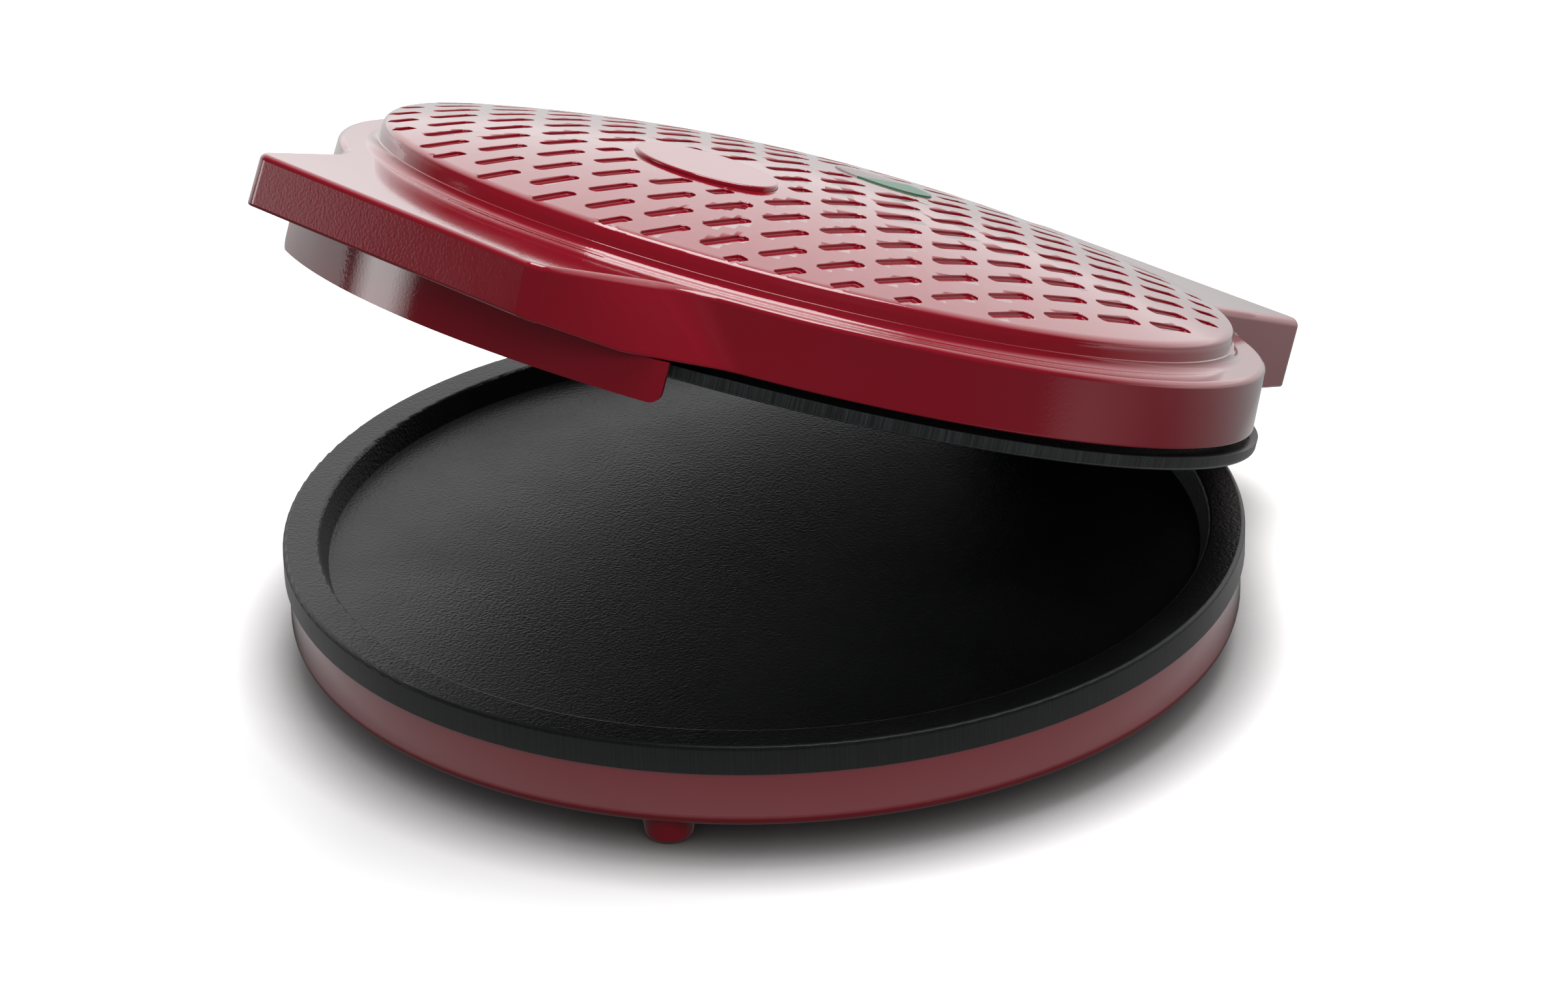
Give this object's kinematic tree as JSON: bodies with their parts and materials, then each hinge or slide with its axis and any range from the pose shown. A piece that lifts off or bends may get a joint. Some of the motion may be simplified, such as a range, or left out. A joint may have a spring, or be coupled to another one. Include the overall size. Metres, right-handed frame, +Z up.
{
  "type": "electric pizza oven",
  "caption": "Round clamshell countertop pizza oven with heated plates, a slotted domed lid, a front handle and a rear hinge.",
  "frame": {"origin": "on the surface it stands on, under the middle of the whole box with the lid part open", "axes": "+X along the hinge, -Y to the handle, +Y to the hinge, +Z up"},
  "size_m": [0.324, 0.3665, 0.204],
  "materials": {
    "red_plastic": "glossy deep red, light orange peel on upright walls",
    "black_rubber": "matt",
    "steel": "zinc plated",
    "heater_sheath": "dull grey",
    "coated_aluminium": "cast, black non-stick coating, fine-turned outer rim",
    "sheet_aluminium": "bright rolled sheet",
    "black_plastic": "matt",
    "clear_lens": "clear with a fine dot texture",
    "green_lens": "clear green"
  },
  "bodies": {
    "base": {"base_housing": "red_plastic", "foot_pads": "black_rubber", "base_screws": "steel", "lower_plate": "coated_aluminium", "lower_heating_element": "heater_sheath", "lower_element_clamps": "steel", "lower_clamp_screws": "steel", "lower_reflector": "sheet_aluminium", "lower_thermostat": "black_plastic", "thermal_fuse": "black_plastic", "terminal_block": "black_plastic", "cord_inlet": "black_rubber", "hinge_pin_left": "steel", "hinge_pin_right": "steel"},
    "lid": {"lid_cover": "red_plastic", "handle_guard": "red_plastic", "handle_screws": "steel", "lid_carrier": "sheet_aluminium", "carrier_screws": "steel", "upper_plate": "coated_aluminium", "upper_plate_screws": "steel", "upper_heating_element": "heater_sheath", "upper_element_clamps": "steel", "upper_clamp_screws": "steel", "upper_thermostat": "black_plastic", "badge_plate": "red_plastic", "indicator_lens_left": "clear_lens", "indicator_lens_right": "green_lens", "lamp_holder": "black_plastic", "indicator_lamps": "clear_lens"}
  },
  "joints": [
    {"name": "lid_hinge", "type": "hinge", "parent": "base", "child": "lid", "pos_m": [0, 0.15589, 0.0437], "axis": [-1, 0, 0], "range_deg": [-21.85, 73.15]}
  ]
}
